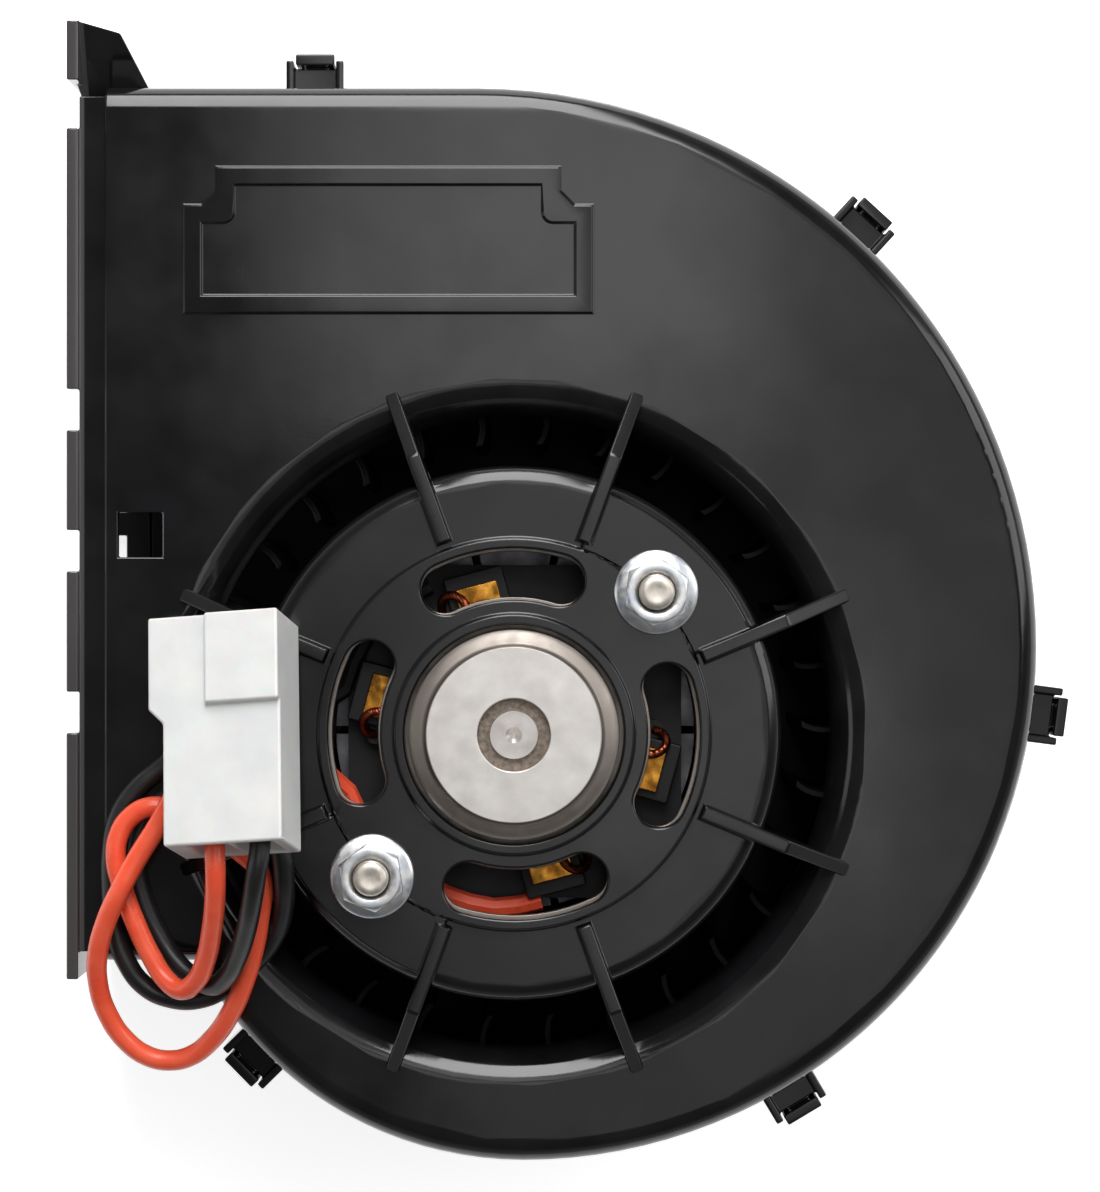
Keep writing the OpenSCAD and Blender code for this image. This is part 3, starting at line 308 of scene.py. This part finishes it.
def soft_goods(name, dark, light, roughness, grain, skin, **gloss):
    """Rubber, felt, nylon or insulation: a dull colour with a soft grain."""
    finish = Finish(name, light, roughness, **gloss)
    finish.cloud(dark, light, grain, detail=4)
    finish.sheen(roughness - DULL_SPAN, roughness + DULL_SPAN, grain=grain * 2, detail=3)
    finish.relief(finish.mottle(grain / 2, detail=2), skin)
    return finish


# Where painted light lies on the front edge of the outlet's flange, along X and along Z, in millimetres
FLANGE_PAINTED_LIGHT_X = (-73.2, -73.5)
FLANGE_PAINTED_LIGHT_Z = (56, 59)


def casing_plastic():
    """The casing's plastic, with painted light on the front edge of the outlet's flange, paler where that
    edge catches light.
    """
    finish = moulded("casing_plastic", paint(13, 13, 14), paint(23, 23, 25), gloss=(0.08, 0.18))
    # Painted light: the flange's front edge is made paler, standing for the light that edge catches
    edge = finish.both(finish.past("X", *FLANGE_PAINTED_LIGHT_X), finish.past("Z", *FLANGE_PAINTED_LIGHT_Z))
    finish.stain(edge, paint(70, 68, 68))
    return finish


# Radii of the cup's top, its step and its shoulder, in millimetres, that bound the painted shade
CUP_TOP_R = 14.45
CUP_STEP_R = 14.75
CUP_SHOULDER_R = 15.5


def pressed_steel():
    """The motor's end plate: a pale cup, with painted shade in the step round its top that fades outwards
    into a dimmer grey, also painted shade, over the shoulder and beyond.
    """
    finish = bright_metal(
        "plated_steel", paint(214, 209, 204), paint(232, 228, 223), gloss=(0.42, 0.54), grain=4)
    # Painted shade: dark in the step round the cup's top, lightening outwards to a dimmer grey over the
    # shoulder
    shade_fade = finish.beyond(CUP_STEP_R, CUP_SHOULDER_R)
    shoulder = finish.blend(shade_fade, paint(84, 77, 72), paint(152, 144, 137))
    finish.stain(finish.beyond(CUP_TOP_R, CUP_STEP_R), shoulder)
    return finish


def turned_steel():
    finish = bright_metal(
        "turned_steel", paint(200, 194, 189), paint(226, 221, 217), gloss=(0.3, 0.4), grain=3)
    finish.relief(finish.rings(pitch=0.22, wobble=0.4), depth=0.004)
    return finish


def layered_steel():
    finish = bright_metal(
        "stacked_laminations", paint(92, 92, 96), paint(142, 142, 146), gloss=(0.35, 0.5), grain=5)
    finish.relief(finish.layers(pitch=0.5), depth=0.05)
    return finish


def wound_copper():
    finish = bright_metal(
        "enamelled_windings", paint(120, 52, 24), paint(184, 92, 44), gloss=(0.22, 0.36), grain=3)
    finish.set("Coat Weight", 0.5)
    finish.relief(finish.layers(pitch=0.8, wobble=3.0, direction="DIAGONAL"), depth=0.25)
    return finish


def braided_copper():
    finish = bright_metal(
        "braided_copper", paint(112, 48, 32), paint(196, 104, 72), gloss=(0.28, 0.42), grain=0.9)
    finish.relief(finish.layers(pitch=0.36, wobble=2.5, direction="DIAGONAL"), depth=0.06)
    return finish


def hammered_brass():
    """Brass strip of the brush boxes, stained and uneven."""
    finish = bright_metal("brass_strip", paint(116, 66, 20), paint(224, 160, 66), gloss=(0.2, 0.32), grain=3)
    finish.relief(finish.mottle(grain=4, detail=1), depth=0.5)
    return finish


FINISHES = {
    "casing_plastic": casing_plastic(),
    # The wheel is black plastic, painted darker than the casing as painted shade for the dim inside of the
    # casing
    "wheel_plastic": moulded(
        "wheel_plastic", paint(6, 6, 7), paint(11, 11, 12), gloss=(0.45, 0.6), shine=0.15),
    "plated_steel": pressed_steel(),
    "can_steel": bright_metal(
        "can_steel", paint(84, 83, 82), paint(122, 120, 117), gloss=(0.34, 0.48), grain=12),
    "ferrite": soft_goods(
        "ferrite", paint(38, 37, 38), paint(62, 60, 60), roughness=0.7, grain=2, skin=0.02),
    "zinc": bright_metal(
        "bright_zinc", paint(204, 210, 222), paint(244, 243, 238), gloss=(0.26, 0.46), grain=2.2),
    "bronze": bright_metal(
        "sintered_bronze", paint(112, 100, 90), paint(160, 147, 135), gloss=(0.34, 0.48), grain=0.8,
        skin=0.02),
    "felt": soft_goods(
        "oil_felt", paint(150, 140, 118), paint(196, 186, 164), roughness=0.9, grain=1.2, skin=0.15,
        Sheen_Weight=0.3),
    "spring_steel": bright_metal(
        "spring_steel", paint(120, 120, 124), paint(172, 172, 175), gloss=(0.25, 0.38), grain=6),
    "shaft_steel": turned_steel(),
    "core_steel": layered_steel(),
    "copper": wound_copper(),
    "phenolic": soft_goods(
        "phenolic", paint(8, 8, 9), paint(16, 16, 16), roughness=0.5, grain=3, skin=0.015,
        Specular_IOR_Level=0.35),
    "white_washer": soft_goods(
        "white_washer", paint(205, 204, 198), paint(226, 225, 220), roughness=0.5, grain=3, skin=0.01),
    "brass_strip": hammered_brass(),
    "carbon": soft_goods(
        "carbon", paint(34, 34, 36), paint(58, 58, 60), roughness=0.5, grain=0.6, skin=0.012),
    "red_insulation": soft_goods(
        "red_insulation", paint(243, 84, 52), paint(250, 102, 70), roughness=0.3, grain=5, skin=0.01),
    "black_insulation": soft_goods(
        "black_insulation", paint(22, 22, 23), paint(32, 32, 33), roughness=0.4, grain=5, skin=0.015),
    "grommet_rubber": soft_goods(
        "grommet_rubber", paint(24, 24, 25), paint(38, 38, 39), roughness=0.62, grain=1.5, skin=0.02),
    "white_nylon": soft_goods(
        "white_nylon", paint(212, 213, 213), paint(224, 224, 222), roughness=0.36, grain=7, skin=0.012,
        Subsurface_Weight=0.35, Subsurface_Scale=1.5 * MM),
}
BRAID_FINISH = braided_copper()
STUD_FINISH = bright_metal(
    "stud_end", paint(198, 190, 181), paint(228, 221, 211), gloss=(0.42, 0.54), grain=1.5)
HOLDER_FINISH = moulded("holder_plastic", paint(12, 12, 13), paint(21, 21, 23), gloss=(0.15, 0.24))


def dress(piece, finish):
    piece.data.materials.clear()
    piece.data.materials.append(finish.material)


dress(red_lead, FINISHES["red_insulation"])
dress(black_lead, FINISHES["black_insulation"])
for node, solid in solids.items():
    dress(solid, FINISHES[SLOT_OF[node]])


# Making of pieces

SHARP_ANGLE = math.radians(40)
CREASE_ANGLE = math.radians(32)
FLAT_ANGLE = math.radians(0.6)
MERGE_REACH = 0.002 * MM
CUT_REACH = 0.0005 * MM


def settle(name, bm, slot, body, finish=None):
    """Closes a mesh up into a piece that rides on a body."""
    bmesh.ops.recalc_face_normals(bm, faces=bm.faces)
    for face in bm.faces:
        face.smooth = True
    mesh = bpy.data.meshes.new(name)
    bm.to_mesh(mesh)
    bm.free()
    mesh.set_sharp_from_angle(angle=SHARP_ANGLE)
    piece = bpy.data.objects.new(name, mesh)
    bpy.context.collection.objects.link(piece)
    dress(piece, finish or FINISHES[slot])
    even = piece.modifiers.new("even_shading", "WEIGHTED_NORMAL")
    even.keep_sharp = True
    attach(piece, body)
    return piece


def ease(bm, width, steps):
    """Rounds every edge sharper than the crease angle, by a width in millimetres."""
    edges = [edge for edge in bm.edges if edge.is_manifold and edge.calc_face_angle(0) > CREASE_ANGLE]
    bmesh.ops.bevel(
        bm, geom=edges, offset=width * MM, offset_type="OFFSET", affect="EDGES", segments=steps,
        profile=0.5, material=-1, clamp_overlap=False, loop_slide=False)


def eased_copy(node, width, steps=2, finish=None):
    """A copy of a solid with its sharp edges rounded, shown in its place."""
    bm = bmesh.new()
    bm.from_mesh(solids[node].data)
    bmesh.ops.remove_doubles(bm, verts=bm.verts, dist=MERGE_REACH)
    bmesh.ops.dissolve_limit(
        bm, angle_limit=FLAT_ANGLE, use_dissolve_boundaries=False,
        verts=bm.verts, edges=bm.edges, delimit=set())
    ease(bm, width, steps)
    piece = settle(node + "_eased", bm, SLOT_OF[node], BODY_OF[node], finish)
    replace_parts(piece, node)
    return piece


def lathe(bm, outline, steps):
    """Turns an outline of (radius, height) points, in millimetres, once round the upright axis."""
    verts = [bm.verts.new((radius * MM, 0, height * MM)) for radius, height in outline]
    edges = [bm.edges.new(pair) for pair in zip(verts, verts[1:])]
    bmesh.ops.spin(
        bm, geom=verts + edges, cent=(0, 0, 0), axis=AXIS, angle=math.tau, steps=steps, use_merge=True)
    bmesh.ops.remove_doubles(bm, verts=bm.verts, dist=MERGE_REACH)


def add_part(bm, part, place):
    """Moves a finished part to its place and joins it to a piece."""
    bmesh.ops.transform(part, matrix=place, verts=part.verts)
    mesh = bpy.data.meshes.new("part")
    part.to_mesh(mesh)
    part.free()
    bm.from_mesh(mesh)
    bpy.data.meshes.remove(mesh)


def turn(degrees):
    return Matrix.Rotation(math.radians(degrees), 4, "Z")


def shift(x, y, z):
    return Matrix.Translation(Vector((x, y, z)) * MM)


# Mouldings and pressings with their edges eased

eased_copy("front_shell", width=0.28)
eased_copy("motor_holder", width=0.4, steps=3, finish=HOLDER_FINISH)
eased_copy("rear_shell", width=0.28)
eased_copy("wheel", width=0.2, steps=1)
eased_copy("motor_end_plate", width=0.2)
eased_copy("brush_boxes", width=0.15, steps=1)
connector = eased_copy("connector_housing", width=0.45, steps=3)


# Studs and flange nuts on the motor holder

STUD_ANGLES = (45, 225)
STUD_CIRCLE_R = 33.7
STUD_LOW = 69.4
STUD_TOP = 84.6
STUD_R = 2.98
STUD_HEAD_R = 3.8
STUD_HEAD_TOP = 70.95
STUD_STEPS = 40
THREAD_LOW = STUD_HEAD_TOP + 2
THREAD_HIGH = STUD_TOP - 1.2
THREAD_PITCH = 1.0
THREAD_CREST = 0.12
THREAD_DEPTH = 0.45
# Radius, and height from the stud's top
STUD_TIP = [(2.93, -0.75), (2.83, -0.3), (2.48, -0.02), (1.6, -0.02), (1.1, -0.12), (0, -0.18)]
NUT_SEAT = 77.0
NUT_TWISTS = (8, 23)
NUT_BORE_R = 3.1
NUT_H = 6.2
NUT_FLAT = 5.0
NUT_CORNER = NUT_FLAT / math.cos(math.pi / 6)
NUT_TOP_R = NUT_FLAT - 0.1
NUT_CHAMFER = 0.55
NUT_EASE = 0.08
NUT_STEPS = 96
BORE_CHAMFER = 0.5
HEX_LOW = 0.8
NUT_FLANGE_STEPS = 64
NUT_FLANGE_OUTLINE = [
    (NUT_BORE_R, 0), (6.8, 0), (7.1, 0.3), (7.1, 0.85), (6.9, 1.15), (6.5, 1.3), (5.2, 1.75),
    (NUT_BORE_R, 1.75), (NUT_BORE_R, 0),
]


def hex_body():
    """A chamfered ring cut down to six flats."""
    bm = bmesh.new()
    outline = [
        (NUT_BORE_R, HEX_LOW), (NUT_CORNER, HEX_LOW), (NUT_CORNER, NUT_H - NUT_CHAMFER),
        (NUT_TOP_R, NUT_H), (NUT_BORE_R + BORE_CHAMFER, NUT_H), (NUT_BORE_R, NUT_H - BORE_CHAMFER),
        (NUT_BORE_R, HEX_LOW),
    ]
    lathe(bm, outline, NUT_STEPS)
    for side in range(6):
        out = turn(60 * side) @ Vector((1, 0, 0))
        cut = bmesh.ops.bisect_plane(
            bm, geom=bm.verts[:] + bm.edges[:] + bm.faces[:], dist=CUT_REACH,
            plane_co=out * NUT_FLAT * MM, plane_no=out, clear_outer=True)
        rim = [item for item in cut["geom_cut"] if isinstance(item, bmesh.types.BMEdge)]
        bmesh.ops.contextual_create(bm, geom=rim)
    ease(bm, NUT_EASE, steps=1)
    return bm


def nut_flange():
    bm = bmesh.new()
    lathe(bm, NUT_FLANGE_OUTLINE, NUT_FLANGE_STEPS)
    return bm


def threaded_stud():
    bm = bmesh.new()
    outline = [
        (0, STUD_LOW), (STUD_HEAD_R, STUD_LOW), (STUD_HEAD_R, STUD_HEAD_TOP), (STUD_R, STUD_HEAD_TOP),
    ]
    height = THREAD_LOW
    while height < THREAD_HIGH:
        root = (STUD_R - THREAD_DEPTH, height + THREAD_PITCH / 2)
        outline += [(STUD_R, height), (STUD_R, height + THREAD_CREST), root]
        height += THREAD_PITCH
    outline += [(radius, STUD_TOP + drop) for radius, drop in STUD_TIP]
    lathe(bm, outline, STUD_STEPS)
    return bm


def fasten_motor():
    nuts = bmesh.new()
    studs = bmesh.new()
    for angle, twist in zip(STUD_ANGLES, NUT_TWISTS):
        spot = turn(angle) @ shift(STUD_CIRCLE_R, 0, 0)
        seat = spot @ shift(0, 0, NUT_SEAT)
        add_part(nuts, hex_body(), seat @ turn(twist))
        add_part(nuts, nut_flange(), seat)
        add_part(studs, threaded_stud(), spot)
    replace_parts(settle("flange_nuts_turned", nuts, "zinc", "casing"), "flange_nuts")
    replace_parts(settle("studs_threaded", studs, "zinc", "casing", STUD_FINISH), "mounting_studs")


fasten_motor()


# Brush gear seen through the cooling slots

BRUSH_ANGLES = (105, 165, 285, 345)
CARD_TOP = 62.3
BOX_TOP = 68.6
BLOCK_IN_R = 14.5
BLOCK_OUT_R = 28.2
BLOCK_W = 10.3
BLOCK_TOP = 67.2
BLOCK_EASE = 0.4


def block():
    """Moulded block of the card that holds one brush box."""
    bm = bmesh.new()
    size = Vector((BLOCK_OUT_R - BLOCK_IN_R, BLOCK_W, BLOCK_TOP - CARD_TOP)) * MM
    bmesh.ops.create_cube(bm, size=1, matrix=Matrix.Diagonal((*size, 1)))
    ease(bm, BLOCK_EASE, steps=2)
    return bm


def mould_blocks():
    blocks = bmesh.new()
    centre = shift((BLOCK_IN_R + BLOCK_OUT_R) / 2, 0, (CARD_TOP + BLOCK_TOP) / 2)
    for angle in BRUSH_ANGLES:
        add_part(blocks, block(), turn(angle) @ centre)
    settle("brush_card_blocks", blocks, "phenolic", "casing")


mould_blocks()


# Springs and braids of the brushes

BRUSH_LEVEL = (CARD_TOP + BOX_TOP) / 2
SPRING_WIRE_D = 0.5
SPRING_WIRE_SIDES = 10
SPRING_R = 1.8
SPRING_IN_R = 19.5
SPRING_OUT_R = 24.8
SPRING_TURNS = 6
SPRING_STEPS = SPRING_TURNS * 24
BRAID_D = 1.5
BRAID_LOOP = [
    (17.65, 0, 67.6), (18.2, 0, 68.9), (19.8, 0.9, 69.9), (22, 2, 70), (24.4, 3, 69.2),
    (25.4, 4.8, 68), (24.6, 6.2, 66.6), (22.85, 6.6, 65.3),
]


def coil_spring():
    """A round wire wound along the X axis."""
    bm = bmesh.new()
    bmesh.ops.create_circle(
        bm, segments=SPRING_WIRE_SIDES, radius=SPRING_WIRE_D / 2 * MM, matrix=shift(0, SPRING_R, 0))
    rise = Vector((SPRING_OUT_R - SPRING_IN_R, 0, 0)) * MM / SPRING_STEPS
    bmesh.ops.spin(
        bm, geom=bm.verts[:] + bm.edges[:], cent=(0, 0, 0), axis=(1, 0, 0),
        angle=SPRING_TURNS * math.tau, steps=SPRING_STEPS, dvec=rise)
    bmesh.ops.holes_fill(bm, edges=[edge for edge in bm.edges if edge.is_boundary])
    return bm


def spring(number, angle):
    """A coil spring that lies along its box."""
    bm = bmesh.new()
    add_part(bm, coil_spring(), turn(angle) @ shift(SPRING_IN_R, 0, BRUSH_LEVEL))
    piece = settle(f"brush_spring_{number}", bm, SLOT_OF["brush_springs"], "casing")
    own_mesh(piece)
    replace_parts(piece, "brush_springs")


def braid(number, angle):
    """Runs from the top of its brush, up through the box's slot, over its side and down to a post."""
    name = f"brush_braid_{number}"
    path = wire(name, [turn(angle) @ Vector(point) for point in BRAID_LOOP], BRAID_D)
    seen = path.evaluated_get(bpy.context.evaluated_depsgraph_get())
    mesh = bpy.data.meshes.new_from_object(seen)
    bpy.data.objects.remove(path)
    piece = bpy.data.objects.new(name, mesh)
    bpy.context.collection.objects.link(piece)
    dress(piece, BRAID_FINISH)
    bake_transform(piece)
    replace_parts(piece, "brush_shunts")


for number, angle in enumerate(BRUSH_ANGLES, 1):
    spring(number, angle)
    braid(number, angle)


# Floor, backdrop and light

FLOOR_SIDE = 4.0
FLOOR_DROP = 0.2 * MM
FLOOR_SHADE = (0.8, 0.8, 0.8, 1)
FLOOR_GLOW = 0.75
ROOM_LEVEL = 0.2
WALL_LEVEL = 0.45
CEILING_LEVEL = 0.1
# Height of a direction, from 0 at the horizon to 1 straight up
WALL_TOP = 0.05
CEILING_EDGE = 0.5


def lay_floor():
    """A pale floor that the camera and glossy things see as white, under the object's shadow."""
    bm = bmesh.new()
    bmesh.ops.create_grid(bm, x_segments=1, y_segments=1, size=FLOOR_SIDE / 2)
    bmesh.ops.translate(bm, verts=bm.verts, vec=AXIS * -FLOOR_DROP)
    mesh = bpy.data.meshes.new("floor")
    bm.to_mesh(mesh)
    bm.free()
    floor = bpy.data.objects.new("floor", mesh)
    bpy.context.collection.objects.link(floor)
    finish = Finish("white_floor", FLOOR_SHADE, roughness=0.9, Specular_IOR_Level=0.1)
    finish.set("Emission Color", WHITE)
    sees = finish.nodes.new("ShaderNodeLightPath").outputs
    seen = finish.node("ShaderNodeMath", Value=sees["Is Camera Ray"])
    seen.operation = "MAXIMUM"
    finish.feed(seen.inputs[1], sees["Is Glossy Ray"])
    finish.vary("Emission Strength", finish.ramp(seen.outputs["Value"], 0.0, 1.0, 0.0, FLOOR_GLOW))
    finish.nodes.remove(finish.place.node)
    dress(floor, finish)


def set_room():
    """A room that the camera sees as white. Glossy things show pale walls and a dim ceiling."""
    world = bpy.data.worlds.new("room")
    world.use_nodes = True
    bpy.context.scene.world = world
    nodes, links = world.node_tree.nodes, world.node_tree.links
    sees = nodes.new("ShaderNodeLightPath").outputs
    way = nodes.new("ShaderNodeSeparateXYZ")
    links.new(nodes.new("ShaderNodeTexCoord").outputs["Generated"], way.inputs["Vector"])
    walls = nodes.new("ShaderNodeMapRange")
    links.new(way.outputs["Z"], walls.inputs["Value"])
    walls.inputs["From Min"].default_value = WALL_TOP
    walls.inputs["From Max"].default_value = CEILING_EDGE
    walls.inputs["To Min"].default_value = WALL_LEVEL
    walls.inputs["To Max"].default_value = CEILING_LEVEL
    mirrored = nodes.new("ShaderNodeMix")
    links.new(sees["Is Glossy Ray"], mirrored.inputs["Factor"])
    mirrored.inputs["A"].default_value = ROOM_LEVEL
    links.new(walls.outputs["Result"], mirrored.inputs["B"])
    seen = nodes.new("ShaderNodeMix")
    links.new(sees["Is Camera Ray"], seen.inputs["Factor"])
    links.new(mirrored.outputs["Result"], seen.inputs["A"])
    seen.inputs["B"].default_value = 1
    room = nodes["Background"]
    room.inputs["Color"].default_value = WHITE
    links.new(seen.outputs["Result"], room.inputs["Strength"])


def hang_lamp(name, spot, aim, size, level):
    """A panel of even brightness, where a level of 1 would show as white."""
    panel = bpy.data.lights.new(name, "AREA")
    panel.shape = "RECTANGLE"
    panel.size, panel.size_y = size
    panel.energy = level * math.pi * panel.size * panel.size_y
    lamp = bpy.data.objects.new(name, panel)
    lamp.location = spot
    lamp.rotation_euler = (Vector(aim) - Vector(spot)).to_track_quat("-Z", "Y").to_euler()
    lamp.visible_camera = False
    bpy.context.collection.objects.link(lamp)


lay_floor()
set_room()
hang_lamp("overhead_panel", spot=(0.19, 0.05, 0.9), aim=(0.19, 0.05, 0), size=(0.46, 0.56), level=0.55)
hang_lamp("centre_panel", spot=(0.04, -0.03, 0.898), aim=(0.04, -0.03, 0), size=(0.18, 0.12), level=0.8)
hang_lamp("label_panel", spot=(-0.005, 0.21, 0.896), aim=(-0.005, 0.21, 0), size=(0.18, 0.25), level=1.5)
hang_lamp("key_panel", spot=(0.0, 0.77, 0.67), aim=(0.0, 0.1, 0.07), size=(0.38, 1.1), level=9.0)
hang_lamp("right_panel", spot=(0.8, 0.3, 0.6), aim=(0.05, 0.05, 0.06), size=(0.5, 0.7), level=2.8)
hang_lamp("left_strip", spot=(-0.8, 0.0, 0.4), aim=(0.0, 0.02, 0.05), size=(0.25, 0.7), level=1.2)
bpy.context.scene.view_settings.view_transform = "Standard"
